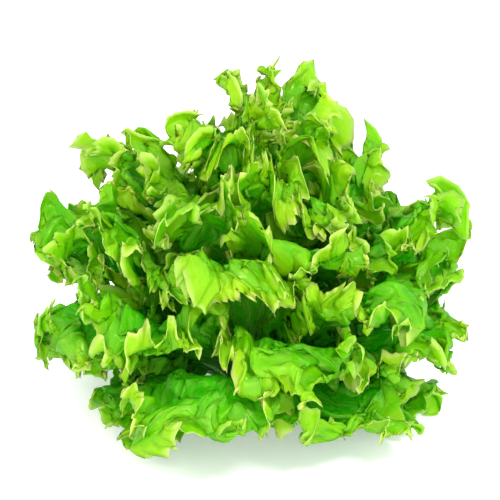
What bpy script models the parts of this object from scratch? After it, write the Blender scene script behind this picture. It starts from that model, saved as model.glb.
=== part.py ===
"""A head of lollo bionda lettuce, standing upright on the cut face of its stem.

The head is a short stem with separate leaves round it, one golden turn apart. Each leaf is
worked out flat, as a fan of rays from its base to its margin. Its margin is then folded,
and the folded leaf is laid along a curve that rises from the stem and hangs over at its tip.
"""

import math
import random

import bpy
import numpy as np

# Head, metres
LEAVES = 38
HEAD_RADIUS = 0.123  # leaf tips from the axis, at the widest
CROWN_RADIUS = 0.129  # leaf tips above the head's middle
MIDDLE_HEIGHT = 0.068
LOWEST_TIP = math.radians(126)  # from straight up
SHOULDER = math.radians(54)  # where the head steps in below its crown
SHOULDER_SPREAD = math.radians(19)
SHOULDER_DEPTH = 0.25
HEART_DIP = 0.11  # how much lower the innermost leaves stand
HEART_DIP_SPREAD = math.radians(26)
GOLDEN_TURN = math.radians(137.508)
AZIMUTH_DRAW = 0.05  # each leaf may stand this far from its place, radians
REACH_DRAW = (0.91, 1.08)
WIDTH_DRAW = (0.92, 1.08)
HANG_DRAW = (-10, 10)  # degrees
SEED = 27

# Stem
STEM_RADIUS = 0.0175
STEM_HEIGHT = 0.062
STEM_STEPS = 24
STEM_LEVELS = 9
LOWEST_LEAF_BASE = 0.010
HIGHEST_LEAF_BASE = 0.054
BASE_GAP = 0.0020  # from the stem to the middle of a leaf's thickness
STEM_HOLD = 0.040  # within this radius the stem holds the leaves in place

# Leaf
LEAF_HALF_WIDTH = 0.058  # of an outer leaf, along the head's surface
HEART_SHARE = 0.74  # the innermost leaf's width, of the outer ones'
FAN = math.radians(92)  # the outermost rays, from the middle ray
BASE_HALF_ANGLE = 0.28  # the leaf's base round the stem, radians
NARROWEST_TURN = 0.035  # a heart leaf is bent round the axis as if at this radius
WIDEST_TURN = 1.45
NEAREST_AXIS = 0.003
CURL_LENGTH = 1.12  # the leaf's own length, of the straight line from base to tip
RISING = (88, 30)  # slope at the base of the heart's and the lowest leaves, degrees
RISE_REACH = 0.42
HANG_AT = (0, 0.15, 0.3, 0.6, 0.85, 1)  # places from the heart to the lowest leaf
HANG = (20, 46, 62, 70, 66, 46)  # how far the tip hangs over there, degrees
HANG_REACH = 0.40
CUP = (0.004, -0.010)  # how far the sides stand up, heart and lowest leaves
RIB_THICKNESS = 0.0026
RIB_SPREAD = 0.45
BLADE_THICKNESS = 0.0010
FLOOR_GAP = 0.0006  # the lowest leaves lie this far up, to the middle of their thickness
FLOOR_SOFTNESS = 0.004

# Margin: lobes, and folds that follow one another along arcs, broad ones first
LOBES = ((0.045, 3.3), (0.012, 7.1))  # depth, and half waves over the half margin
UNEVEN = ((0.02, 2.0), (0.012, 5.1))  # the same, for the spacing of the folds
FOLDS = (3.5, 7.5)  # over the whole margin
TURNS = (0.31, 0.27)  # how far each turns the margin, radians
TURN_SPREAD = 0.3
BANDS = (0.42, 0.22)  # how far in each reaches, of the ray
MEANDERS = (0.02, 0.02)  # how far the folds sway along the margin, of a fold
SIDE_STRENGTH = 0.40  # how strong the folds are at the base's sides

# Waves that push the whole head out of round, radians per metre along x, y and z, and a phase
LEAN_WAVES = ((0, 38, 0, 1.0), (41, 0, 0, 2.2), (36, 30, 0, 0.4))
LEANS = (0.045, 0.045, 0.04)  # along x, y and z, of the height
SHIFT_WAVES = ((0, 20, 55, 0), (26, 0, 52, 2.0))
SHIFT = 0.004
# Waves that lift and lower the leaves as they pass over each other
LEVEL_WAVES = ((62, 34, 0, 0.5), (-41, 71, 0, 2.0))
LEVEL = 0.0065
LEVEL_FROM = 0.030  # the waves are full well above this height and die out at the floor
SWERVE_X = (0, 52, 60, 1.3)
SWERVE_Y = (57, 0, -52, 2.6)
SWERVE = 0.0015

# Rows of points from the base to the margin, and how many times more rays each has than the base
ROWS = (0.0, 0.28, 0.54, 0.80, 1.0)
SPLITS = (1, 1, 1, 2, 4)
BASE_RAYS = 12
HEART_RAYS = 9
HEART_LEAVES = 10


def mixed(start, end, share):
    return start + (end - start) * share


def waves(sizes, across, phases):
    """A sum of sine waves over the margin."""
    return sum(
        depth * np.sin(count * math.pi * across + phase)
        for (depth, count), phase in zip(sizes, phases)
    )


def stem_radius(height):
    """The stem narrows towards its growing tip."""
    return STEM_RADIUS * max(1 - (height / (STEM_HEIGHT * 1.02)) ** 2.2, 0.02) ** 0.6


class Leaf:
    """Where one leaf stands in the head, and its random draws."""

    def __init__(self, number, draws):
        share = (number + 0.5) / LEAVES
        self.number = number
        self.tip_angle = math.acos(1 - share * (1 - math.cos(LOWEST_TIP)))
        self.outwards = self.tip_angle / LOWEST_TIP
        self.azimuth = number * GOLDEN_TURN + draws.uniform(-AZIMUTH_DRAW, AZIMUTH_DRAW)
        self.reach = draws.uniform(*REACH_DRAW)
        self.more_hang = draws.uniform(*HANG_DRAW)
        self.uneven_phases = [draws.uniform(0, 2 * math.pi) for _ in UNEVEN]
        self.fold_phases = [draws.uniform(0, 2 * math.pi) for _ in FOLDS]
        self.lobe_phases = [draws.uniform(0, 2 * math.pi) for _ in LOBES]
        self.turn_phases = [draws.uniform(0, 2 * math.pi) for _ in FOLDS]
        widen = mixed(HEART_SHARE, 1, min(1, self.outwards * 1.5))
        self.half_width = LEAF_HALF_WIDTH * widen * draws.uniform(*WIDTH_DRAW)
        self.points = self.rise()
        first, last = self.points[0], self.points[3]
        self.length = CURL_LENGTH * math.hypot(last[0] - first[0], last[1] - first[1])
        self.half_angle = min(self.half_width / max(last[0], NARROWEST_TURN), WIDEST_TURN)

    def rise(self):
        """Four control points (out, up) of the curve from the leaf's base to its tip."""
        step_in = SHOULDER_DEPTH * math.exp(-(((self.tip_angle - SHOULDER) / SHOULDER_SPREAD) ** 2))
        dip = HEART_DIP * math.exp(-((self.tip_angle / HEART_DIP_SPREAD) ** 2))
        size = self.reach * (1 - step_in - dip)
        tip = np.array((
            HEAD_RADIUS * size * math.sin(self.tip_angle),
            MIDDLE_HEIGHT + CROWN_RADIUS * size * math.cos(self.tip_angle),
        ))
        depth = self.outwards**0.9
        base_height = mixed(HIGHEST_LEAF_BASE, LOWEST_LEAF_BASE, depth)
        base = np.array((stem_radius(base_height) + BASE_GAP, base_height))
        rising = math.radians(mixed(*RISING, depth))
        hang = math.radians(np.interp(self.outwards, HANG_AT, HANG) + self.more_hang)
        falling = math.pi / 2 - self.tip_angle - hang
        apart = np.hypot(*(tip - base))
        after_base = base + RISE_REACH * apart * np.array((math.cos(rising), math.sin(rising)))
        before_tip = tip - HANG_REACH * apart * np.array((math.cos(falling), math.sin(falling)))
        return base, after_base, before_tip, tip


def along_rise(points, share):
    """Place (out, up) and direction on the curve with these four control points."""
    share = share[:, None]
    left = 1 - share
    a, b, c, d = points
    place = left**3 * a + 3 * left**2 * share * b + 3 * left * share**2 * c + share**3 * d
    speed = 3 * (left**2 * (b - a) + 2 * left * share * (c - b) + share**2 * (d - c))
    return place, speed / np.linalg.norm(speed, axis=1)[:, None]


def fan_outline(across):
    """The flat leaf's margin at each ray: its share of the half width and of the length."""
    angle = across * FAN
    return np.sin(angle), 0.5 + 0.5 * np.cos(angle)


def lobes(leaf, across):
    """How much longer or shorter each ray is than the smooth outline's."""
    return 1 + waves(LOBES, across, leaf.lobe_phases)


def fold(leaf, across, out):
    """Fold the margin up and down along arcs. Returns how far each point then is along its
    ray, how high it stands off the leaf, and how far it has swayed along the margin."""
    wide, tall = fan_outline(across)
    ray = lobes(leaf, across) * np.hypot(wide * leaf.half_width, tall * leaf.length)
    strength = mixed(SIDE_STRENGTH, 1, np.clip(tall, 0, 1)) * leaf.half_width / LEAF_HALF_WIDTH
    uneven = across + waves(UNEVEN, across, leaf.uneven_phases)
    along = np.minimum(out, 1 - BANDS[0]) * ray
    height = np.zeros_like(out)
    turn = np.zeros_like(out)
    sway = np.zeros_like(out)
    bend = 0.01  # never quite straight, so that its radius stays finite
    for level, folds in enumerate(FOLDS):
        angle = math.pi * folds * uneven + leaf.fold_phases[level]
        vary = 1 + TURN_SPREAD * np.sin((3.3 + 1.7 * level) * math.pi * across + leaf.turn_phases[level])
        bend = bend + TURNS[level] * strength * vary * np.sin(angle) / (BANDS[level] * ray)
        start = 1 - BANDS[level]
        stop = 1 - BANDS[level + 1] if level + 1 < len(BANDS) else 1
        turned = turn + bend * (np.clip(out, start, stop) - start) * ray
        along += (np.sin(turned) - np.sin(turn)) / bend
        height += (np.cos(turn) - np.cos(turned)) / bend
        turn = turned
        reached = np.clip((out - start) / BANDS[level], 0, 1) ** 1.5
        sway -= MEANDERS[level] / folds * reached * np.sin(2 * angle)
    return along / ray, height, sway


def stand(leaf, across, out, lift):
    """Points of the leaf in the head, from its flat coordinates, lifted off its middle layer."""
    out, height, sway = fold(leaf, across, out)
    across = across + sway
    wide, tall = fan_outline(across)
    out = out * mixed(1, lobes(leaf, across), out**2)
    up_leaf = tall * out
    place, direction = along_rise(leaf.points, up_leaf)
    height = height + lift + mixed(*CUP, leaf.outwards) * (wide * out) ** 2 * up_leaf
    radius = np.maximum(place[:, 0] - height * direction[:, 1], NEAREST_AXIS)
    level = place[:, 1] + height * direction[:, 0] - FLOOR_GAP
    level = FLOOR_GAP + 0.5 * (level + np.sqrt(level**2 + FLOOR_SOFTNESS**2))
    turn = leaf.azimuth + mixed(BASE_HALF_ANGLE * across, leaf.half_angle * wide, out)
    return np.stack((radius * np.cos(turn), radius * np.sin(turn), level), axis=1)


def push(points, wave):
    """How hard the wave pushes at each point, from -1 to 1."""
    return np.sin(points @ np.array(wave[:3]) + wave[3])


def jostle(points):
    """Push the whole head a little out of round, as leaves that grow against each other are."""
    from_axis = points[:, 0] ** 2 + points[:, 1] ** 2
    loose = 1 - np.exp(-((from_axis / STEM_HOLD**2) ** 2))
    moved = points.copy()
    for axis in range(3):
        moved[:, axis] += loose * LEANS[axis] * points[:, 2] * push(points, LEAN_WAVES[axis])
    for axis in range(2):
        moved[:, axis] += loose * SHIFT * push(points, SHIFT_WAVES[axis])
    high = loose * moved[:, 2] / (moved[:, 2] + LEVEL_FROM)
    moved[:, 2] += high * LEVEL * sum(push(moved, wave) for wave in LEVEL_WAVES)
    moved[:, 0] += loose * SWERVE * push(moved, SWERVE_X)
    moved[:, 1] += loose * SWERVE * push(moved, SWERVE_Y)
    return moved


def fan_pattern(base_rays):
    """Flat coordinates (across, out) and triangles of a fan whose rays double in number."""
    counts = [base_rays * split for split in SPLITS]
    across, out, starts = [], [], []
    for row, count in zip(ROWS, counts):
        starts.append(len(out))
        across.extend(np.linspace(-1, 1, count + 1))
        out.extend([row] * (count + 1))
    faces = []
    for row in range(len(ROWS) - 1):
        faces.extend(strip(starts[row], starts[row + 1], counts[row], counts[row + 1]))
    return np.array(across), np.array(out), faces


def strip(low, high, low_count, high_count):
    """Triangles between two rows of points, the higher one with as many rays or twice as many."""
    faces = []
    for ray in range(low_count):
        here = low + ray
        if high_count == low_count:
            above = high + ray
            faces += [(here, here + 1, above), (here + 1, above + 1, above)]
            continue
        above = high + 2 * ray
        faces.append((here, above + 1, above))
        faces.append((here, here + 1, above + 1))
        faces.append((here + 1, above + 2, above + 1))
    return faces


def closed_faces(faces, apart):
    """The same triangles on both faces of a sheet, and a rim between them. The second face's
    points follow the first face's, this many places on."""
    edges = {(face[i], face[(i + 1) % 3]) for face in faces for i in range(3)}
    rim = sorted((a, b) for a, b in edges if (b, a) not in edges)
    second = [(a + apart, c + apart, b + apart) for a, b, c in faces]
    first_rim = [(b, a, a + apart) for a, b in rim]
    second_rim = [(b, a + apart, b + apart) for a, b in rim]
    return list(faces) + second + first_rim + second_rim


def plant_material(name, colour):
    material = bpy.data.materials.new(name)
    material.use_nodes = True
    shader = material.node_tree.nodes["Principled BSDF"]
    shader.inputs["Base Color"].default_value = (*colour, 1)
    shader.inputs["Roughness"].default_value = 0.38
    shader.inputs["Metallic"].default_value = 0
    return material


def add_object(name, mesh, material, collection):
    mesh.materials.append(material)
    made = bpy.data.objects.new(name, mesh)
    collection.objects.link(made)
    return made


def add_stem(collection):
    """A turned stump: a flat cut face below, narrowing to the growing tip."""
    profile = [(0, 0, STEM_HEIGHT)]
    profile += [(stem_radius(up), 0, up) for up in np.linspace(STEM_HEIGHT, 0, STEM_LEVELS)]
    profile += [(0, 0, 0)]
    mesh = bpy.data.meshes.new("stem")
    mesh.from_pydata(profile, [(i, i + 1) for i in range(len(profile) - 1)], [])
    stem = add_object("stem", mesh, plant_material("stem", (0.78, 0.80, 0.52)), collection)
    turned = stem.modifiers.new("Turned", "SCREW")
    turned.steps = STEM_STEPS
    turned.render_steps = STEM_STEPS
    turned.use_merge_vertices = True
    turned.merge_threshold = 0.0001
    turned.use_smooth_shade = False


def add_leaf(leaf, material, collection):
    """One leaf: a folded fan, thick along its rib and thin at its margin."""
    heart = leaf.number < HEART_LEAVES
    across, out, faces = fan_pattern(HEART_RAYS if heart else BASE_RAYS)
    rib = (1 - out) ** 2 * np.exp(-((across / RIB_SPREAD) ** 2))
    thickness = mixed(BLADE_THICKNESS, RIB_THICKNESS, rib)
    under = jostle(stand(leaf, across, out, -thickness / 2))
    upper = jostle(stand(leaf, across, out, thickness / 2))
    name = f"leaf_{leaf.number + 1:02d}"
    mesh = bpy.data.meshes.new(name)
    mesh.from_pydata(np.concatenate((under, upper)).tolist(), [], closed_faces(faces, len(under)))
    add_object(name, mesh, material, collection)


def clear_scene():
    for thing in list(bpy.data.objects):
        bpy.data.objects.remove(thing)


def build():
    clear_scene()
    collection = bpy.data.collections.new("lollo_bionda_lettuce")
    bpy.context.scene.collection.children.link(collection)
    add_stem(collection)
    heart = plant_material("heart_leaf", (0.42, 0.62, 0.06))
    outer = plant_material("outer_leaf", (0.20, 0.48, 0.02))
    draws = random.Random(SEED)
    for number in range(LEAVES):
        leaf = Leaf(number, draws)
        add_leaf(leaf, heart if number < HEART_LEAVES else outer, collection)


build()
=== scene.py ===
# %% [markdown]
# # A head of lollo bionda lettuce
# Lollo bionda is a loose leaf lettuce: there is no firm heart, only leaves set one after another
# round a short stem. Each leaf is a fan that is smooth near its base and so full at its margin
# that the margin has to fold into frills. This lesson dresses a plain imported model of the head.
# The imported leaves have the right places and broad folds. Here each gets a finer leaf with the
# same place and folds, to which the frills, teeth, veins and colours are added.

# %% Load the frame
import math
import random

import bpy
import numpy as np
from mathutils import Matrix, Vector


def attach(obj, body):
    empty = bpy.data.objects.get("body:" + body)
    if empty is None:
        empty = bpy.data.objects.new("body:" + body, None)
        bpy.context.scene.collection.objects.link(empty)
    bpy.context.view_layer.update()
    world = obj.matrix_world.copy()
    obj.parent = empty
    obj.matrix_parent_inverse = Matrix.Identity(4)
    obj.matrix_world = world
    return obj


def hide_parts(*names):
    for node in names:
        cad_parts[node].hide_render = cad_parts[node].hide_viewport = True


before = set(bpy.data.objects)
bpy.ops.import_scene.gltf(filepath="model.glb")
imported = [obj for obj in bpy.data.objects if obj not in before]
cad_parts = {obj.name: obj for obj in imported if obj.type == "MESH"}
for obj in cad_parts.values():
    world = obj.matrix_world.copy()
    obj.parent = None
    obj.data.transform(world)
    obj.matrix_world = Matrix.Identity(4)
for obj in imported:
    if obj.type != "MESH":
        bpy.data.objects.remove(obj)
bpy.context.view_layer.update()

# %% [markdown]
# ## Where the leaves stand
# A real stem makes its leaves one at a time, each turned by the golden angle from the last, so
# that no leaf sits right above another. The leaf tips lie on a dome. The heart's leaves stand
# nearly straight up and the lowest ones lie out along the surface. Every value is the packed
# model's own, because a dressed leaf has to lie where its packed leaf is.

# %% Sizes of the head and its leaves, in metres
LEAVES = 38
HEAD_RADIUS = 0.123  # of the dome of leaf tips, sideways
CROWN_RADIUS = 0.129  # and upwards, from its middle
MIDDLE_HEIGHT = 0.068
HEART_DIP = 0.11  # how much lower the very middle is, as a share of the dome's radius
HEART_DIP_SPREAD = math.radians(26)
SHOULDER = math.radians(54)  # where the dome steps in, down from straight up
SHOULDER_SPREAD = math.radians(19)
SHOULDER_DEPTH = 0.25
LOWEST_TIP = math.radians(126)
GOLDEN_TURN = math.radians(137.508)
AZIMUTH_DRAW = 0.05  # radians, either way
REACH_DRAW = (0.91, 1.08)
WIDTH_DRAW = (0.92, 1.08)
HANG_DRAW = (-10, 10)  # degrees
SEED = 27

STEM_RADIUS = 0.0175
STEM_HEIGHT = 0.062
STEM_END = 1.02  # times its height: where its sides would meet
LOWEST_LEAF_BASE = 0.010
HIGHEST_LEAF_BASE = 0.054
BASE_GAP = 0.0020  # from the stem to the middle of a leaf's thickness

LEAF_HALF_WIDTH = 0.058
HEART_LEAVES = 10
HEART_SHARE = 0.74  # how wide the innermost leaf is, as a share of an outer one
NARROWEST_TURN = 0.035
WIDEST_TURN = 1.45  # radians that a leaf reaches round the head, either way
CURL_LENGTH = 1.12  # a leaf's length, times the way from its base to its tip
RISE_BEND = 0.9
RISING = (88, 30)  # degrees up at the base, for the heart and for the lowest leaf
RISE_REACH = 0.42
HANG_AT = (0, 0.15, 0.3, 0.6, 0.85, 1)
HANG = (20, 46, 62, 70, 66, 46)  # degrees down at the tip, past straight out
HANG_REACH = 0.40
print("stem:", STEM_RADIUS * 2000, "mm across and", STEM_HEIGHT * 1000, "mm tall")

# %% [markdown]
# ## The place of each leaf
# A leaf on the real plant stands up from the stem, leans out and hangs over at its tip under its
# own weight. That line could be drawn by hand for each leaf. A curve through four points says the
# same with two directions and two lengths, which change little by little from the heart outwards.
# Seeded draws make each leaf a little longer, wider or more hanging than the rule alone would.


# %% Work out each leaf's place
def mixed(start, end, share):
    return start + (end - start) * share


def stem_radius(height):
    """Nearly straight sides that round in to the growing tip."""
    return STEM_RADIUS * max(1 - (height / (STEM_HEIGHT * STEM_END)) ** 2.2, 0.02) ** 0.6


def leaf_rise(tip_angle, outwards, reach, more_hang):
    """Four points (out, up) of the curve from the leaf's base to its tip."""
    step_in = SHOULDER_DEPTH * math.exp(-(((tip_angle - SHOULDER) / SHOULDER_SPREAD) ** 2))
    dip = HEART_DIP * math.exp(-((tip_angle / HEART_DIP_SPREAD) ** 2))
    size = reach * (1 - step_in - dip)
    tip = np.array((
        HEAD_RADIUS * size * math.sin(tip_angle),
        MIDDLE_HEIGHT + CROWN_RADIUS * size * math.cos(tip_angle),
    ))
    depth = outwards**RISE_BEND
    base_height = mixed(HIGHEST_LEAF_BASE, LOWEST_LEAF_BASE, depth)
    base = np.array((stem_radius(base_height) + BASE_GAP, base_height))
    rising = math.radians(mixed(*RISING, depth))
    hang = math.radians(np.interp(outwards, HANG_AT, HANG) + more_hang)
    falling = math.pi / 2 - tip_angle - hang
    apart = np.hypot(*(tip - base))
    after_base = base + RISE_REACH * apart * np.array((math.cos(rising), math.sin(rising)))
    before_tip = tip - HANG_REACH * apart * np.array((math.cos(falling), math.sin(falling)))
    return base, after_base, before_tip, tip


def leaf_place(number, draws):
    """The named sizes of one leaf, in the order in which they are drawn."""
    tip_angle = math.acos(1 - (number + 0.5) / LEAVES * (1 - math.cos(LOWEST_TIP)))
    outwards = tip_angle / LOWEST_TIP
    azimuth = number * GOLDEN_TURN + draws.uniform(-AZIMUTH_DRAW, AZIMUTH_DRAW)
    reach = draws.uniform(*REACH_DRAW)
    more_hang = draws.uniform(*HANG_DRAW)
    phases = [draws.uniform(0, 2 * math.pi) for _ in range(8)]
    widen = mixed(HEART_SHARE, 1, min(1, outwards * 1.5))
    half_width = LEAF_HALF_WIDTH * widen * draws.uniform(*WIDTH_DRAW)
    points = leaf_rise(tip_angle, outwards, reach, more_hang)
    apart = math.hypot(points[3][0] - points[0][0], points[3][1] - points[0][1])
    return {
        "Azimuth": azimuth,
        "Outwards": outwards,
        "Half width": half_width,
        "Length": CURL_LENGTH * apart,
        "Half angle": min(half_width / max(points[3][0], NARROWEST_TURN), WIDEST_TURN),
        "Base": (points[0][0], 0, points[0][1]),
        "After base": (points[1][0], 0, points[1][1]),
        "Before tip": (points[2][0], 0, points[2][1]),
        "Tip": (points[3][0], 0, points[3][1]),
        "Spacing phases": (phases[0], phases[1], 0),
        "Fold phases": (phases[2], phases[3], 0),
        "Lobe phases": (phases[4], phases[5], 0),
        "Depth phases": (phases[6], phases[7], 0),
        "Seed": float(number),
    }


place_draws = random.Random(SEED)
places = [leaf_place(number, place_draws) for number in range(LEAVES)]
print("leaves:", len(places), "longest:", round(max(p["Length"] for p in places), 3), "m")

# %% [markdown]
# ## Sums on sockets
# A node tree is easier to read as a formula than as a list of nodes and links. This small class
# holds a socket, and each sign adds the Math node for it. It serves both the shape of the leaf,
# in Geometry Nodes, and its colours, in the shader.


# %% A class for sums on sockets
class Value:
    """A socket that can be added to, multiplied and so on."""

    def __init__(self, graph, socket):
        self.graph = graph
        self.socket = socket

    def math(self, operation, *others):
        inputs = dict(enumerate((self, *others)))
        return self.graph.node("ShaderNodeMath", {"operation": operation}, inputs)

    def output(self, name):
        return Value(self.graph, self.socket.node.outputs[name])

    def __add__(self, other):
        return self.math("ADD", other)

    def __sub__(self, other):
        return self.math("SUBTRACT", other)

    def __mul__(self, other):
        return self.math("MULTIPLY", other)

    def __truediv__(self, other):
        return self.math("DIVIDE", other)

    def __pow__(self, other):
        return self.math("POWER", other)

    def __neg__(self):
        return self.math("MULTIPLY", -1.0)

    def __rsub__(self, other):
        return self.graph.node("ShaderNodeMath", {"operation": "SUBTRACT"}, {0: other, 1: self})

    __radd__ = __add__
    __rmul__ = __mul__


# %% [markdown]
# ## Adding any node
# Every other node could have a function of its own. One method is enough: it takes the node's
# type, its settings and what goes into its sockets, either a number or another node's result.


# %% A class for the tree
class Graph:
    """A node tree, and the one method that adds any node to it."""

    def __init__(self, tree):
        self.tree = tree

    def node(self, kind, settings=None, inputs=None, output=0):
        made = self.tree.nodes.new(kind)
        for name, setting in (settings or {}).items():
            if name == "stops":
                self.set_stops(made.color_ramp, setting)
            else:
                setattr(made, name, setting)
        for key, given in (inputs or {}).items():
            if isinstance(given, Value):
                self.tree.links.new(given.socket, made.inputs[key])
            else:
                made.inputs[key].default_value = given
        return Value(self, made.outputs[output]) if len(made.outputs) else made

    @staticmethod
    def set_stops(ramp, stops):
        while len(ramp.elements) < len(stops):
            ramp.elements.new(0.5)
        for element, (position, colour) in zip(ramp.elements, stops):
            element.position = position
            element.color = (*colour, 1)


def sin(value):
    return value.math("SINE")


def cos(value):
    return value.math("COSINE")


def at_most(value, limit):
    return value.math("MINIMUM", limit)


def at_least(value, limit):
    return value.math("MAXIMUM", limit)


def ease(value, start, end):
    """0 below start, 1 above end, and a smooth step between."""
    settings = {"interpolation_type": "SMOOTHSTEP"}
    inputs = {"Value": value, "From Min": start, "From Max": end}
    return value.graph.node("ShaderNodeMapRange", settings, inputs)


# %% [markdown]
# ## The flat leaf
# A leaf could be modelled by pulling points about, but 38 leaves with hundreds of frills each
# are better made by rule. It starts as a flat pattern, as cloth does. Each point of the pattern
# says how far it is across the leaf, from -1 to 1, and how far out from its base, from 0 to 1.
# The margin needs many points for its frills and the base needs few, so the number of rays
# doubles from one band to the next.

# %% Cut the flat pattern
PATTERN_BANDS = (  # from, to, rows, how many times more rays than at the base
    (0.00, 0.25, 4, 1),
    (0.25, 0.45, 5, 2),
    (0.45, 0.76, 13, 4),
    (0.76, 0.90, 7, 8),
    (0.90, 1.00, 6, 16),
)
PATTERN_RAYS = 30
HEART_PATTERN_RAYS = 20


def pattern_strip(low, high, low_count, high_count):
    """Faces between two rows of points, the higher with as many rays or twice as many."""
    if high_count == low_count:
        return [(low + i, low + i + 1, high + i + 1, high + i) for i in range(low_count)]
    faces = []
    for i in range(low_count):
        here, above = low + i, high + 2 * i
        faces.append((here, above + 1, above))
        faces.append((here, here + 1, above + 1))
        faces.append((here + 1, above + 2, above + 1))
    return faces


def flat_pattern(name, base_rays):
    """A flat sheet of rays (x, from -1 to 1) and rows (y, from 0 to 1)."""
    rows = [(0.0, base_rays)]
    for start, stop, count, times in PATTERN_BANDS:
        rows += [(out, base_rays * times) for out in np.linspace(start, stop, count + 1)[1:]]
    points, faces, starts = [], [], []
    for out, rays in rows:
        starts.append(len(points))
        points += [(across, out, 0) for across in np.linspace(-1, 1, rays + 1)]
    for row in range(len(rows) - 1):
        faces += pattern_strip(starts[row], starts[row + 1], rows[row][1], rows[row + 1][1])
    mesh = bpy.data.meshes.new(name)
    mesh.from_pydata(points, [], faces)
    print(name, "has", len(points), "points and", len(faces), "faces")
    return mesh


outer_pattern = flat_pattern("outer leaf pattern", PATTERN_RAYS)
heart_pattern = flat_pattern("heart leaf pattern", HEART_PATTERN_RAYS)

# %% [markdown]
# ## Folding the margin
# The margin of a lollo leaf grows faster than the rest, so it buckles: first into a few broad
# folds, then each of these into smaller ones, down to a crimp of a few millimetres. Here each
# size of fold bends the sheet along an arc inside its own band, and the arcs follow one
# another, so that the sheet stays as long as it was cut. The first two sizes are the packed
# leaf's. The frill and the crimp come on top.

# %% Sizes of the folds
FAN = math.radians(92)  # how far the flat leaf opens, either way
BASE_HALF_ANGLE = 0.28  # how far its base reaches round the stem, radians
LOBES = ((0.045, 3.3), (0.012, 7.1))  # waves of the margin: depth, count
SPACING = ((0.02, 2.0), (0.012, 5.1))  # how uneven the folds are: depth, count
FOLDS = (3.5, 7.5)  # broad folds and smaller ones over the whole margin
TURNS = (0.31, 0.27)  # how far each bends, radians
TURN_SPREAD = 0.3
SWELLS = (3.3, 5.0)  # how often they grow stronger and weaker
BANDS = (0.42, 0.22)  # how much of the ray each takes, from the margin in
MEANDERS = (0.02, 0.02)
SIDE_STRENGTH = 0.40
LEAST_BEND = 0.01  # keeps the sums from dividing by nothing

FRILLS = (5, 13, 42)  # ruffles, frills and crimps over the whole margin
FRILL_TURNS = (1.20, 1.50, 1.20)  # how far each bends, radians
FRILL_BANDS = (0.23, 0.12, 0.050)  # how much of the ray each takes
FRILL_SWAYS = (0.10, 0.14, 0.06)  # how far each leans over its neighbours
FRILL_WANDERS = (3.0, 2.4, 1.6)  # how unevenly they are spaced, radians
FRILL_VARIES = (0.6, 0.8, 0.8)  # how much their bends differ
FRILL_CURLS = (0.9, 1.2, 0.7)  # random bends on top, radians
FRILL_LEAST = 0.65  # how strong they are at the base's sides
SWAY_LEAN = 0.6
WANDERS_OFTEN = (3.1, 7.1, 11.1)  # how often the spacing of each size changes
VARIES_OFTEN = (4.3, 10.3, 16.3)  # and its bends
CURLS_OFTEN = 0.45  # random bends for each frill
WANDER_SHIFT, VARY_SHIFT, CURL_SHIFT = 3.3, 50, 90  # other stretches of the noise
ALL_BANDS = BANDS + FRILL_BANDS
OPEN_END = 2.0  # the last band goes on as far as the teeth do
SEED_STEP = 7.31  # takes each leaf to another stretch of the noise
print("folds over each margin:", *FOLDS, *FRILLS)


def wave_sum(sizes, across, phases):
    """A sum of sine waves over the margin."""
    return sum(
        depth * sin(across * (count * math.pi) + phase)
        for (depth, count), phase in zip(sizes, phases)
    )


def noise(value, scale, seed, shift=0.0):
    """Smooth random values from about -1 to 1 along a line."""
    at = value * scale + seed * SEED_STEP + shift
    settings = {"noise_dimensions": "1D"}
    inputs = {"W": at, "Scale": 1.0, "Detail": 1.0}
    return value.graph.node("ShaderNodeTexNoise", settings, inputs) * 2.0 - 1.0


def outline(across):
    """The flat leaf's margin at each ray: its share of the half width and of the length."""
    angle = across * FAN
    return sin(angle), cos(angle) * 0.5 + 0.5


def xyz(value):
    """The three parts of a vector."""
    parts = value.graph.node("ShaderNodeSeparateXYZ", None, {0: value})
    return parts, parts.output("Y"), parts.output("Z")


# %% [markdown]
# ## One arc after another
# Each fold could be a wave added to the height, but a strong wave would stretch the sheet. So the
# sheet turns along an arc instead: the way it has turned so far is kept with its place, and the
# next smaller fold starts from there. Sway moves the tops of the folds over their neighbours.


# %% Fold it
def add_level(state, across, out, ray, level, bend, sway):
    """Bend the sheet on along one more arc, in this level's band."""
    start = 1 - ALL_BANDS[level]
    stop = 1 - ALL_BANDS[level + 1] if level + 1 < len(ALL_BANDS) else OPEN_END
    state["bend"] = state["bend"] + bend / (ray * ALL_BANDS[level])
    inside = at_most(at_least(out, start), stop) - start
    turned = state["turn"] + state["bend"] * inside * ray
    state["along"] = state["along"] + (sin(turned) - sin(state["turn"])) / state["bend"]
    state["height"] = state["height"] + (cos(state["turn"]) - cos(turned)) / state["bend"]
    state["turn"] = turned
    reached = at_most(at_least((out - start) / ALL_BANDS[level], 0.0), 1.0) ** 1.5
    state["sway"] = state["sway"] - reached * sway


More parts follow.
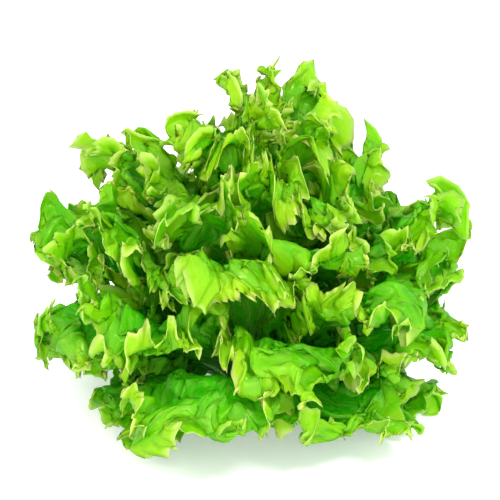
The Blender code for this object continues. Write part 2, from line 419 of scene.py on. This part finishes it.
def folded(leaf, across, out):
    """Where the folds take each point: along its ray, up off the leaf and along the margin."""
    wide, tall = outline(across)
    lobes = 1 + wave_sum(LOBES, across, leaf["Lobe phases"])
    flat_out, flat_up = wide * leaf["Half width"], tall * leaf["Length"]
    ray = lobes * (flat_out * flat_out + flat_up * flat_up) ** 0.5
    tall_share = at_most(at_least(tall, 0.0), 1.0)
    size = leaf["Half width"] / LEAF_HALF_WIDTH
    strength = (tall_share * (1 - SIDE_STRENGTH) + SIDE_STRENGTH) * size
    spaced = across + wave_sum(SPACING, across, leaf["Spacing phases"])
    state = {
        "along": at_most(out, 1 - BANDS[0]) * ray,
        "height": across * 0.0,
        "turn": across * 0.0,
        "sway": across * 0.0,
        "bend": across * 0.0 + LEAST_BEND,
    }
    for level, folds in enumerate(FOLDS):
        angle = spaced * (math.pi * folds) + leaf["Fold phases"][level]
        swell = across * (SWELLS[level] * math.pi) + leaf["Depth phases"][level]
        bend = strength * (sin(swell) * TURN_SPREAD + 1) * sin(angle) * TURNS[level]
        sway = sin(angle * 2) * (MEANDERS[level] / folds)
        add_level(state, across, out, ray, level, bend, sway)
    frilled = tall_share * (1 - FRILL_LEAST) + FRILL_LEAST
    for extra, frills in enumerate(FRILLS):
        level = len(FOLDS) + extra
        wander = noise(across, WANDERS_OFTEN[extra], leaf["Seed"], WANDER_SHIFT * extra)
        phase = leaf["Fold phases"][extra % 2] * (2 + extra)
        angle = across * size * size * (math.pi * frills) + wander * FRILL_WANDERS[extra] + phase
        vary = noise(across, VARIES_OFTEN[extra], leaf["Seed"], VARY_SHIFT + extra)
        vary = vary * FRILL_VARIES[extra] + 1
        curl = noise(across, frills * CURLS_OFTEN, leaf["Seed"], CURL_SHIFT + 7 * extra)
        curl = curl * FRILL_CURLS[extra]
        bend = frilled * (vary * sin(angle) * FRILL_TURNS[extra] + curl)
        sway = sin(angle * 2 + SWAY_LEAN) * (FRILL_SWAYS[extra] * 2 / frills)
        add_level(state, across, out, ray, level, bend, sway)
    return state, ray


print("the margin's arcs start at", *(round(1 - band, 2) for band in ALL_BANDS), "of the ray")

# %% [markdown]
# ## Teeth and crumples
# The margin ends in sharp points with round bays between them, and the blade between the folds is
# crumpled. Teeth could be cut out of the mesh. Here the sheet is made longer where a tooth
# stands instead, before it is folded, so that a tooth always points the way its own piece of
# margin curls. The crumples are smooth noise of three sizes, laid over the flat leaf.

# %% Teeth and crumples
TEETH = (54, 115)  # large and small points on the margin
TOOTH_SIZES = (0.042, 0.020)  # of the ray
TOOTH_STARTS = (0.86, 0.95)
TOOTH_WANDER = 1.6  # how unevenly they are spaced, radians
JAGS = ((8.0, 71, 0.07), (21.0, 83, 0.035))  # uneven length: how often, noise shift, of the ray
JAG_CUT = 0.05  # how much shorter they leave the leaf
CRUMPLES = (  # how many to the metre, size, from and full at which share of the ray
    (45, 0.0130, 0.10, 0.65),
    (84, 0.0095, 0.35, 0.90),
    (170, 0.0028, 0.40, 1.0),
)
HEART_CRUMPLE = 0.75  # of those sizes
OUTER_CRUMPLE = 1.30
SEED_SHEET = 0.37  # takes each leaf to another sheet of the noise


def toothed(leaf, across, count):
    """Sharp points with round bays between them, no two alike."""
    wander = noise(across, count * 0.22, leaf["Seed"], count) * TOOTH_WANDER
    point = 1 - sin(across * (math.pi * count / 2) + wander).math("ABSOLUTE")
    return point * (noise(across, count * 0.5, leaf["Seed"], count + 11) * 0.7 + 0.8)


def longer(leaf, across, out):
    """How much the teeth and uneven lengths add to each ray."""
    jags = sum(noise(across, often, leaf["Seed"], shift) * size for often, shift, size in JAGS)
    added = (jags - JAG_CUT) * ease(out, 0.5, 1.0)
    for count, size, start in zip(TEETH, TOOTH_SIZES, TOOTH_STARTS):
        added = added + toothed(leaf, across, count) * ease(out, start, 1.0) * size
    return added


def flat_place(leaf, across, out):
    """The place of a point on its uncut, unfolded leaf, in metres."""
    wide, tall = outline(across)
    return across.graph.node("ShaderNodeCombineXYZ", None, {
        0: wide * out * leaf["Half width"],
        1: tall * out * leaf["Length"],
        2: leaf["Seed"] * SEED_SHEET,
    })


def crumpled(leaf, across, out):
    """Small pushes in every direction, as no blade is as smooth as a formula."""
    flat = flat_place(leaf, across, out)
    strength = leaf["Outwards"] * (OUTER_CRUMPLE - HEART_CRUMPLE) + HEART_CRUMPLE
    pushes = [0, 0, 0]
    for scale, size, start, full in CRUMPLES:
        inputs = {"Vector": flat, "Scale": scale, "Detail": 1.0}
        random_push = across.graph.node("ShaderNodeTexNoise", None, inputs, "Color")
        reach = ease(out, start, full) * strength * (size * 2)
        pushes = [(part - 0.5) * reach + had for part, had in zip(xyz(random_push), pushes)]
    return pushes


print("teeth:", *TEETH, "and", len(CRUMPLES), "sizes of crumple")

# %% [markdown]
# ## Standing the leaf up
# The folded leaf is laid along a curve that rises from the stem and hangs over at its tip, and
# is bent round the stem. It could be bent afterwards with a Curve modifier, but sums on the
# pattern keep every leaf in one tree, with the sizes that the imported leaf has.

# %% Stand it up
CURVE_INPUTS = ("Base", "After base", "Before tip", "Tip")
CUP = (0.004, -0.010)  # how much a leaf bends round its own length, heart and outer
NEAREST_AXIS = 0.003
FLOOR_GAP = 0.0006
FLOOR_SOFTNESS = 0.004
SIDE_FRILL = 0.0065  # waves along the sides of the leaf's base
SIDE_WAVES, SIDE_CRIMPS = 38, 90
SIDE_CRIMP_SIZE = 0.35  # of those waves
SIDE_FROM = 0.86  # of the way to the side
SIDE_RISE = (0.15, 0.5)  # of the ray


def along_rise(leaf, share):
    """Place (out, up) and direction on the leaf's curve."""
    left = 1 - share
    outs = [leaf[name][0] for name in CURVE_INPUTS]
    ups = [leaf[name][1] for name in CURVE_INPUTS]
    weights = (left * left * left, left * left * share * 3, left * share * share * 3,
               share * share * share)
    slopes = (left * left, left * share * 2, share * share)
    place_out = sum(weight * at for weight, at in zip(weights, outs))
    place_up = sum(weight * at for weight, at in zip(weights, ups))
    speed_out = sum(s * (b - a) for s, a, b in zip(slopes, outs[:-1], outs[1:]))
    speed_up = sum(s * (b - a) for s, a, b in zip(slopes, ups[:-1], ups[1:]))
    speed = (speed_out * speed_out + speed_up * speed_up) ** 0.5
    return place_out, place_up, speed_out / speed, speed_up / speed


def above_floor(level, softness):
    """The same level, bent softly up where it would go into the floor."""
    level = level - FLOOR_GAP
    return (level + (level * level + softness**2) ** 0.5) * 0.5 + FLOOR_GAP


def standing(leaf, across, out):
    """The leaf's points in the head."""
    state, ray = folded(leaf, across, out * (longer(leaf, across, out) + 1))
    side = ease(across.math("ABSOLUTE"), SIDE_FROM, 1.0) * ease(out, *SIDE_RISE)
    side_wave = sin(out * SIDE_WAVES + leaf["Fold phases"][0] + across * 2)
    side_crimp = sin(out * SIDE_CRIMPS + leaf["Fold phases"][1]) * SIDE_CRIMP_SIZE
    side_lift = side * (side_wave + side_crimp) * SIDE_FRILL
    flat = state["along"] / ray
    moved_across = across + state["sway"]
    wide, tall = outline(moved_across)
    moved_lobes = 1 + wave_sum(LOBES, moved_across, leaf["Lobe phases"])
    flat = flat * ((moved_lobes - 1) * flat * flat + 1)
    up_leaf = tall * flat
    place_out, place_up, way_out, way_up = along_rise(leaf, up_leaf)
    cup = leaf["Outwards"] * (CUP[1] - CUP[0]) + CUP[0]
    sideways = wide * flat
    height = state["height"] + side_lift + cup * sideways * sideways * up_leaf
    radius = at_least(place_out - height * way_up, NEAREST_AXIS)
    level = above_floor(place_up + height * way_out, FLOOR_SOFTNESS)
    around_base = moved_across * BASE_HALF_ANGLE
    turn = leaf["Azimuth"] + around_base + (leaf["Half angle"] * wide - around_base) * flat
    crumple = crumpled(leaf, across, out)
    return radius * cos(turn) + crumple[0], radius * sin(turn) + crumple[1], level + crumple[2]


print("a leaf's base reaches", round(math.degrees(BASE_HALF_ANGLE)), "degrees round, either way")

# %% [markdown]
# ## A head that isn't quite round
# Leaves that grow against each other push the head a little out of round. Each could be moved by
# hand, but then they would cut through their neighbours. One smooth push for every place keeps
# them apart. Near the stem nothing moves, because the stem holds the leaves. Frills that would
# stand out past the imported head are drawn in, and none goes into the floor.

# %% Jostle and rein in the leaves
STEM_HOLD = 0.040  # how far from the axis the stem holds the leaves
LEAN_WAVES = ((0, 38, 0, 1.0), (41, 0, 0, 2.2), (36, 30, 0, 0.4))  # each: x, y, z and phase
LEANS = (0.045, 0.045, 0.04)
SHIFT_WAVES = ((0, 20, 55, 0), (26, 0, 52, 2.0))
SHIFT = 0.004
LEVEL_WAVES = ((62, 34, 0, 0.5), (-41, 71, 0, 2.0))
LEVEL = 0.0065
LEVEL_FROM = 0.030
SWERVE_X = (0, 52, 60, 1.3)
SWERVE_Y = (57, 0, -52, 2.6)
SWERVE = 0.0015
REIN_FROM = (0.110, 0.160)  # out from the axis, and up
REIN_LENGTH = (0.041, 0.170)  # how much further anything can reach


def push(x, y, z, wave):
    """One wave of the warp, from -1 to 1."""
    return sin(x * wave[0] + y * wave[1] + z * wave[2] + wave[3])


def jostled(x, y, z):
    """The same push for every leaf at a place, so neighbours stay apart."""
    from_axis = (x * x + y * y) / STEM_HOLD**2
    loose = 1 - (-(from_axis * from_axis)).math("EXPONENT")
    leans = [loose * z * push(x, y, z, wave) * lean for wave, lean in zip(LEAN_WAVES, LEANS)]
    shifts = [loose * push(x, y, z, wave) * SHIFT for wave in SHIFT_WAVES]
    x, y, z = x + leans[0] + shifts[0], y + leans[1] + shifts[1], z + leans[2]
    z = z + loose * z / (z + LEVEL_FROM) * sum(push(x, y, z, wave) for wave in LEVEL_WAVES) * LEVEL
    x = x + loose * push(x, y, z, SWERVE_X) * SWERVE
    y = y + loose * push(x, y, z, SWERVE_Y) * SWERVE
    return x, y, z


def reined(x, y, z):
    """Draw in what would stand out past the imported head, and keep it off the floor."""
    from_axis = at_least((x * x + y * y) ** 0.5, REIN_FROM[0])
    over = from_axis - REIN_FROM[0]
    share = (over / (over / REIN_LENGTH[0] + 1) + REIN_FROM[0]) / from_axis
    above = at_least(z - REIN_FROM[1], 0.0)
    level = z - above + above / (above / REIN_LENGTH[1] + 1)
    return x * share, y * share, above_floor(level, FLOOR_SOFTNESS / 2)


print("leaves are drawn in from", *(size * 1000 for size in REIN_FROM), "mm out and up")

# %% [markdown]
# ## The leaf's node tree
# The sums become one tree with named inputs, so that the same tree makes all the leaves. It
# keeps a few values of the flat pattern on each point, because the colours and the thickness
# follow them, and then moves the points to their places.

# %% Build the leaf's node tree
LEAF_INPUTS = {
    "Azimuth": "NodeSocketFloat",
    "Outwards": "NodeSocketFloat",
    "Half width": "NodeSocketFloat",
    "Length": "NodeSocketFloat",
    "Half angle": "NodeSocketFloat",
    "Seed": "NodeSocketFloat",
    "Base": "NodeSocketVector",
    "After base": "NodeSocketVector",
    "Before tip": "NodeSocketVector",
    "Tip": "NodeSocketVector",
    "Spacing phases": "NodeSocketVector",
    "Fold phases": "NodeSocketVector",
    "Lobe phases": "NodeSocketVector",
    "Depth phases": "NodeSocketVector",
    "Finish": "NodeSocketMaterial",
}
BLADE_THICKNESS = 0.00045
RIB_THICKNESS = 0.0030
RIB_SPREAD = 9  # the higher, the narrower the rib
MARGIN_FROM = 0.85
MARGIN_THINNING = 0.40  # of the blade's thickness, at the very margin


def stored(graph, geometry, name, kind, value):
    """Keep a value of each point under a name, for the shader."""
    settings = {"data_type": kind, "domain": "POINT"}
    inputs = {"Geometry": geometry, "Name": name, "Value": value}
    return graph.node("GeometryNodeStoreNamedAttribute", settings, inputs)


def leaf_tree():
    """Geometry Nodes that turn the flat pattern into one leaf."""
    tree = bpy.data.node_groups.new("frilled leaf", "GeometryNodeTree")
    tree.interface.new_socket("Geometry", in_out="INPUT", socket_type="NodeSocketGeometry")
    tree.interface.new_socket("Geometry", in_out="OUTPUT", socket_type="NodeSocketGeometry")
    for name, kind in LEAF_INPUTS.items():
        tree.interface.new_socket(name, in_out="INPUT", socket_type=kind)
    graph = Graph(tree)
    given = graph.node("NodeGroupInput")
    leaf = {}
    for name, kind in LEAF_INPUTS.items():
        value = given.output(name)
        if kind == "NodeSocketVector":
            first, second, third = xyz(value)
            leaf[name] = (first, third) if name in CURVE_INPUTS else (first, second)
        else:
            leaf[name] = value
    across, out, _ = xyz(graph.node("GeometryNodeInputPosition"))
    x, y, z = reined(*jostled(*standing(leaf, across, out)))
    place = graph.node("ShaderNodeCombineXYZ", None, {0: x, 1: y, 2: z})
    flat = flat_place(leaf, across, out)
    rib = (1 - out) * (1 - out) * (-(across * across) * RIB_SPREAD).math("EXPONENT")
    blade = BLADE_THICKNESS / RIB_THICKNESS
    thick = rib * (1 - blade) + blade
    thick = thick * (1 - ease(out, MARGIN_FROM, 1.0) * (1 - MARGIN_THINNING))
    shape = given.output("Geometry")
    shape = stored(graph, shape, "across", "FLOAT", across)
    shape = stored(graph, shape, "out", "FLOAT", out)
    shape = stored(graph, shape, "flat", "FLOAT_VECTOR", flat)
    shape = stored(graph, shape, "thick", "FLOAT", thick)
    shape = graph.node("GeometryNodeSetPosition", None, {"Geometry": shape, "Position": place})
    shape = graph.node("GeometryNodeSetShadeSmooth", None, {"Geometry": shape})
    shape = graph.node("GeometryNodeRealizeInstances", None, {"Geometry": shape})
    finished = {"Geometry": shape, "Material": leaf["Finish"]}
    shape = graph.node("GeometryNodeSetMaterial", None, finished)
    graph.node("NodeGroupOutput", None, {"Geometry": shape})
    print("leaf tree:", len(tree.nodes), "nodes")
    return tree


frilled_leaf = leaf_tree()

# %% [markdown]
# ## The colours of a leaf
# The blade is a bright yellow-green, paler along the veins and towards the base, and nearly
# cream at the very margin, where the leaf is thinnest. A leaf is so thin that light goes
# through it, so a share of the light is scattered out on the far side. The veins run out from
# the base and fork, which the shader draws from how far across the leaf each point is.


# %% Draw the veins
VEIN_SETS = (  # how many each way, from which share of the ray, how strong, how wide
    (3.5, 0.00, 0.85, 0.030),
    (7.0, 0.30, 0.60, 0.020),
)
VEIN_START = 0.12  # of the ray, until a vein has its full strength
VEIN_END = (0.80, 0.97)
VEIN_FADE = 0.8


def vein_lines(across, out, wander):
    """1 on a vein and 0 beside it: each set of veins starts further out, between the last."""
    lines = across * 0.0
    for count, start, strength, width in VEIN_SETS:
        at = ((across + wander) * count).math("FRACT") - 0.5
        away = at.math("ABSOLUTE") / count
        line = 1 - ease(away * (out * 0.8 + 0.25), width * 0.2, width)
        lines = at_least(lines, line * ease(out, start, start + VEIN_START) * strength)
    return lines * (1 - ease(out, *VEIN_END) * VEIN_FADE)


print("veins each way:", *(count for count, _, _, _ in VEIN_SETS))

# %% [markdown]
# ## The leaf's finish
# A plain green would look like plastic. The real blade changes from base to margin, has yellower
# patches, pale flecks and small blisters between its veins. Darker green patches, laid by noise,
# are painted shade that stands in for the shade between the frills. A ramp gives the first, and
# noise of four sizes the rest. All of it follows the flat leaf, so it bends as the leaf does.

# %% Mix the finish of the leaves
THROUGH = 0.52  # share of the light that goes through the blade
# the second of these sizes is that of the painted shade: darker green patches on the blades
PATCHES, PAINTED_SHADES, BLISTERS, FLECKS = 28.0, 75.0, 210.0, 420.0  # how many to the metre
VEIN_WANDERS, VEIN_WANDER = 40.0, 0.22
PATCH_SHARE = 0.55  # how strongly each shows
# how strongly the painted shade shows
PAINTED_SHADE_SHARE = 0.55
VEIN_SHARE = 0.30
FLECK_SHARE = 0.35
VEIN_COLOUR = (0.42, 0.66, 0.10, 1)
FLECK_COLOUR = (0.46, 0.74, 0.05, 1)
RELIEF = 0.0018  # metres
GREEN_GLOSS = (0.92, 1.0, 0.42, 1)
OUTER_LOOK = {
    "blade_stops": (
        (0.0, (0.42, 0.58, 0.20)),
        (0.35, (0.015, 0.38, 0.001)),
        (0.72, (0.055, 0.50, 0.001)),
        (0.90, (0.23, 0.60, 0.002)),
        (0.985, (0.39, 0.64, 0.008)),
        (1.0, (0.90, 0.87, 0.26)),
    ),
    "patch_colour": (0.16, 0.60, 0.001, 1),
    # painted shade: the darker green laid in patches over the outer leaves
    "painted_shade_colour": (0.03, 0.40, 0.001, 1),
    "through_colour": (0.06, 0.64, 0.001, 1),
}
HEART_LOOK = {
    "blade_stops": (
        (0.0, (0.50, 0.62, 0.18)),
        (0.35, (0.035, 0.45, 0.001)),
        (0.74, (0.10, 0.56, 0.001)),
        (0.90, (0.28, 0.63, 0.002)),
        (0.985, (0.43, 0.67, 0.008)),
        (1.0, (0.90, 0.89, 0.26)),
    ),
    "patch_colour": (0.22, 0.65, 0.002, 1),
    # painted shade: the darker green laid in patches over the heart leaves
    "painted_shade_colour": (0.06, 0.46, 0.001, 1),
    "through_colour": (0.11, 0.66, 0.001, 1),
}


def empty_material(name):
    """A new material without nodes, and the graph that adds them."""
    material = bpy.data.materials.new(name)
    material.use_nodes = True
    material.node_tree.nodes.clear()
    return material, Graph(material.node_tree)


def mixed_colour(graph, share, first, second):
    inputs = {0: share, 6: first, 7: second}
    return graph.node("ShaderNodeMix", {"data_type": "RGBA"}, inputs, 2)


def kept(graph, name, part):
    """A value that the leaf's tree kept on each point."""
    return graph.node("ShaderNodeAttribute", {"attribute_name": name}, None, part)


def mottle(graph, place, scale, detail=2.0):
    inputs = {"Vector": place, "Scale": scale, "Detail": detail}
    return graph.node("ShaderNodeTexNoise", None, inputs)


def leaf_finish(name, blade_stops, patch_colour, painted_shade_colour, through_colour):
    """A glossy, blistered blade that lets part of the light through."""
    material, graph = empty_material(name)
    across, out = kept(graph, "across", "Fac"), kept(graph, "out", "Fac")
    flat = kept(graph, "flat", "Vector")
    patch = mottle(graph, flat, PATCHES, 3.0)
    fleck = mottle(graph, flat, FLECKS)
    blister = graph.node("ShaderNodeTexVoronoi", {"feature": "SMOOTH_F1"},
                         {"Vector": flat, "Scale": BLISTERS, "Smoothness": 0.5})
    veins = vein_lines(across, out, (mottle(graph, flat, VEIN_WANDERS) - 0.5) * VEIN_WANDER)
    # painted shade: noise patches of darker green, kept off the very margin
    painted_shade = ease(mottle(graph, flat, PAINTED_SHADES), 0.46, 0.62) * (1 - ease(out, 0.93, 1.0))
    blade = graph.node("ShaderNodeValToRGB", {"stops": blade_stops}, {0: out})
    blade = mixed_colour(graph, ease(patch, 0.35, 0.70) * PATCH_SHARE, blade, patch_colour)
    blade = mixed_colour(graph, painted_shade * PAINTED_SHADE_SHARE, blade, painted_shade_colour)
    blade = mixed_colour(graph, veins * VEIN_SHARE, blade, VEIN_COLOUR)
    blade = mixed_colour(graph, ease(fleck, 0.58, 0.72) * FLECK_SHARE, blade, FLECK_COLOUR)
    height = blister * 0.8 + fleck * 0.5 - veins * 0.35
    relief = {"Strength": 0.85, "Distance": RELIEF, "Height": height}
    bump = graph.node("ShaderNodeBump", None, relief)
    gloss = graph.node("ShaderNodeBsdfPrincipled", None, {
        "Base Color": blade,
        "Roughness": ease(patch, 0.3, 0.8) * 0.14 + 0.24,
        "Specular IOR Level": 0.50,
        "Specular Tint": GREEN_GLOSS,
        "Normal": bump,
    })
    far_side = {"Color": through_colour, "Normal": bump}
    through = graph.node("ShaderNodeBsdfTranslucent", None, far_side)
    both = graph.node("ShaderNodeMixShader", None, {0: THROUGH, 1: gloss, 2: through})
    graph.node("ShaderNodeOutputMaterial", None, {"Surface": both})
    return material


outer_finish = leaf_finish("outer leaf finish", **OUTER_LOOK)
heart_finish = leaf_finish("heart leaf finish", **HEART_LOOK)
print("finishes:", outer_finish.name, heart_finish.name)

# %% [markdown]
# ## The stem
# The short stem is hidden between the leaves, and only its cut face would show from below. It is
# turned like a bowl, row by row, in mesh code, because its sides have shallow ridges where the
# leaves were joined. Its flesh is pale and a little browned in a ring on the cut.

# %% Turn the stem
STEM_SIDES = 56
STEM_ROWS = 30
STEM_RIDGES = 8
RIDGE_DEPTH = 0.012  # of the radius
RIDGE_TWIST = 260  # radians to the metre
RING = (0.009, 0.012)  # the browned ring, out from the axis
CUT_EDGE = (0.0002, 0.003)  # where the side's colour takes over from the cut's
CUT_COLOURS = (0.62, 0.60, 0.34, 1), (0.50, 0.40, 0.17, 1)
SIDE_COLOURS = (0.66, 0.70, 0.36, 1), (0.40, 0.62, 0.12, 1)
STEM_FLECK_COLOUR = (0.74, 0.74, 0.46, 1)


def turned_stem():
    """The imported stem's form with finer rows and the ridges that the leaves leave on it."""
    points = []
    for up in np.linspace(0, STEM_HEIGHT, STEM_ROWS):
        for side in range(STEM_SIDES):
            angle = 2 * math.pi * side / STEM_SIDES
            ridge = 1 - RIDGE_DEPTH * (1 + math.sin(STEM_RIDGES * angle + up * RIDGE_TWIST))
            radius = stem_radius(up) * ridge
            points.append((radius * math.cos(angle), radius * math.sin(angle), up))
    base, top = len(points), len(points) + 1
    points += [(0, 0, 0), (0, 0, STEM_HEIGHT)]
    faces = []
    for side in range(STEM_SIDES):
        beside = (side + 1) % STEM_SIDES
        for row in range(STEM_ROWS - 1):
            low, high = row * STEM_SIDES, (row + 1) * STEM_SIDES
            faces.append((low + side, low + beside, high + beside, high + side))
        faces.append((base, beside, side))
        faces.append((top, high + side, high + beside))
    mesh = bpy.data.meshes.new("turned_stem")
    mesh.from_pydata(points, [], faces)
    for face in mesh.polygons:
        face.use_smooth = base not in face.vertices
    return mesh


def stem_finish():
    """Pale flesh, a little browned where it was cut."""
    material, graph = empty_material("stem finish")
    place = graph.node("ShaderNodeTexCoord", None, None, "Object")
    x, y, up = xyz(place)
    flecks = ease(mottle(graph, place, 220.0, 3.0), 0.4, 0.7) * 0.35
    cut = mixed_colour(graph, ease((x * x + y * y) ** 0.5, *RING) * 0.6, *CUT_COLOURS)
    side = mixed_colour(graph, ease(up, 0.0, STEM_HEIGHT), *SIDE_COLOURS)
    colour = mixed_colour(graph, ease(up, *CUT_EDGE), cut, side)
    colour = mixed_colour(graph, flecks, colour, STEM_FLECK_COLOUR)
    gloss = graph.node("ShaderNodeBsdfPrincipled", None, {"Base Color": colour, "Roughness": 0.42})
    graph.node("ShaderNodeOutputMaterial", None, {"Surface": gloss})
    return material


stem = bpy.data.objects.new("cut_stem", turned_stem())
stem.data.materials.append(stem_finish())
bpy.context.scene.collection.objects.link(stem)
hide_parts("stem")
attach(stem, "root")
print(stem.name, "has", len(stem.data.polygons), "faces")

# %% [markdown]
# ## The leaves
# Every leaf is the flat pattern, shaped by the tree with that leaf's own sizes and then given its
# thickness by a Solidify modifier, thin at the margin and thicker along the rib. The result is
# kept as a plain mesh, because a finished piece carries no modifier of its own.


# %% Grow the leaves
def grow_leaf(number, place):
    """One leaf as a plain mesh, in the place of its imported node."""
    heart = number < HEART_LEAVES
    name = f"frilled_leaf_{number + 1:02d}"
    flat = bpy.data.objects.new(name + "_flat", heart_pattern if heart else outer_pattern)
    bpy.context.scene.collection.objects.link(flat)
    flat.vertex_groups.new(name="thick")
    shaping = flat.modifiers.new("Frilled leaf", "NODES")
    shaping.node_group = frilled_leaf
    values = dict(place, Finish=heart_finish if heart else outer_finish)
    for item in frilled_leaf.interface.items_tree:
        if item.in_out == "INPUT" and item.name in values:
            shaping[item.identifier] = values[item.name]
    sheet = flat.modifiers.new("Sheet", "SOLIDIFY")
    sheet.thickness = RIB_THICKNESS
    sheet.offset = 0
    sheet.vertex_group = "thick"
    graph = bpy.context.evaluated_depsgraph_get()
    mesh = bpy.data.meshes.new_from_object(flat.evaluated_get(graph))
    bpy.data.objects.remove(flat)
    mesh.name = name
    leaf = bpy.data.objects.new(name, mesh)
    bpy.context.scene.collection.objects.link(leaf)
    return leaf


triangles = 0
for number, place in enumerate(places):
    leaf = grow_leaf(number, place)
    triangles += sum(len(face.vertices) - 2 for face in leaf.data.polygons)
    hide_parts(f"leaf_{number + 1:02d}")
    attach(leaf, "root")
    "heart_leaf" if number < HEART_LEAVES else "outer_leaf"
print("leaf triangles:", triangles)

# %% [markdown]
# ## The floor
# The head stands on a plain pale floor. White card under soft light photographs as almost pure
# white, with only a faint shadow. More light would wash out the leaves, so the floor gives off a
# little light of its own instead.

# %% Lay the floor
FLOOR_HALF = 3.0
FLOOR_GLOW = 0.30
FLOOR_LOOK = {
    "Base Color": (0.9, 0.9, 0.9, 1),
    "Roughness": 0.8,
    "Emission Color": (1, 1, 1, 1),
    "Emission Strength": FLOOR_GLOW,
}
floor_finish, floor_graph = empty_material("floor finish")
matt_white = floor_graph.node("ShaderNodeBsdfPrincipled", None, FLOOR_LOOK)
floor_graph.node("ShaderNodeOutputMaterial", None, {"Surface": matt_white})
corners = [(x * FLOOR_HALF, y * FLOOR_HALF, 0) for x, y in ((-1, -1), (1, -1), (1, 1), (-1, 1))]
floor_mesh = bpy.data.meshes.new("floor")
floor_mesh.from_pydata(corners, [], [(0, 1, 2, 3)])
floor_mesh.materials.append(floor_finish)
floor = bpy.data.objects.new("floor", floor_mesh)
bpy.context.scene.collection.objects.link(floor)
print("floor:", FLOOR_HALF * 2, "m a side")

# %% [markdown]
# ## The light
# Soft light comes from a white sky all round. Three area lights shape the head: one high on the
# right, a weak one on the left and a wide one in front. Their places are given as seen from the
# camera and turned round the head with it.

# %% Set the lights
VIEW_TURN = math.radians(50)  # the camera's place round the head
SKY_STRENGTH = 1.45
HEAD_MIDDLE = Vector((0, 0, 0.1))
SOFTBOXES = (  # name, place, size, watts
    ("key light", (0.45, -0.7, 1.1), 0.30, 12),
    ("fill light", (-0.7, -0.3, 0.9), 0.5, 2),
    ("front light", (-0.1, -1.3, 0.45), 1.0, 9),
)


def seen_from_front(x, y, z):
    """A place given as the photographer sees it: x to the right and -y towards the camera."""
    right, back = math.cos(VIEW_TURN), math.sin(VIEW_TURN)
    return Vector((x * right - y * back, x * back + y * right, z))


def turned_to(thing, target):
    """Point a light or camera at a place."""
    thing.rotation_euler = (target - thing.location).to_track_quat("-Z", "Y").to_euler()


world = bpy.data.worlds.new("soft sky")
bpy.context.scene.world = world
world.use_nodes = True
sky = world.node_tree.nodes["Background"].inputs
sky["Color"].default_value = (1, 1, 1, 1)
sky["Strength"].default_value = SKY_STRENGTH
for name, place, size, power in SOFTBOXES:
    light = bpy.data.lights.new(name, "AREA")
    light.size = size
    light.energy = power
    box = bpy.data.objects.new(name, light)
    bpy.context.scene.collection.objects.link(box)
    box.location = seen_from_front(*place)
    turned_to(box, HEAD_MIDDLE)
print("lights:", *(name for name, *_ in SOFTBOXES))

# %% [markdown]
# ## The camera
# The photograph looks slightly down on the head from far off, so the near leaves aren't much
# larger than the far ones. A long lens from more than a metre away gives the same view. The lens
# is worked out from how wide the picture is at the head.

# %% Place the camera
ELEVATION = math.radians(22)
DISTANCE = 1.15
VIEW_WIDTH = 0.2752  # metres across the picture, at the head
SENSOR_WIDTH = 36  # millimetres
AIM = Vector((0.0, 0.0, 0.0913))
camera_data = bpy.data.cameras.new("camera")
camera_data.sensor_width = SENSOR_WIDTH
camera_data.lens = SENSOR_WIDTH * DISTANCE / VIEW_WIDTH
camera = bpy.data.objects.new("camera", camera_data)
bpy.context.scene.collection.objects.link(camera)
away = seen_from_front(0, -math.cos(ELEVATION), math.sin(ELEVATION))
camera.location = AIM + away * DISTANCE
turned_to(camera, AIM)
bpy.context.scene.camera = camera
bpy.context.scene.view_settings.view_transform = "Standard"
print("lens:", round(camera_data.lens, 1), "mm")
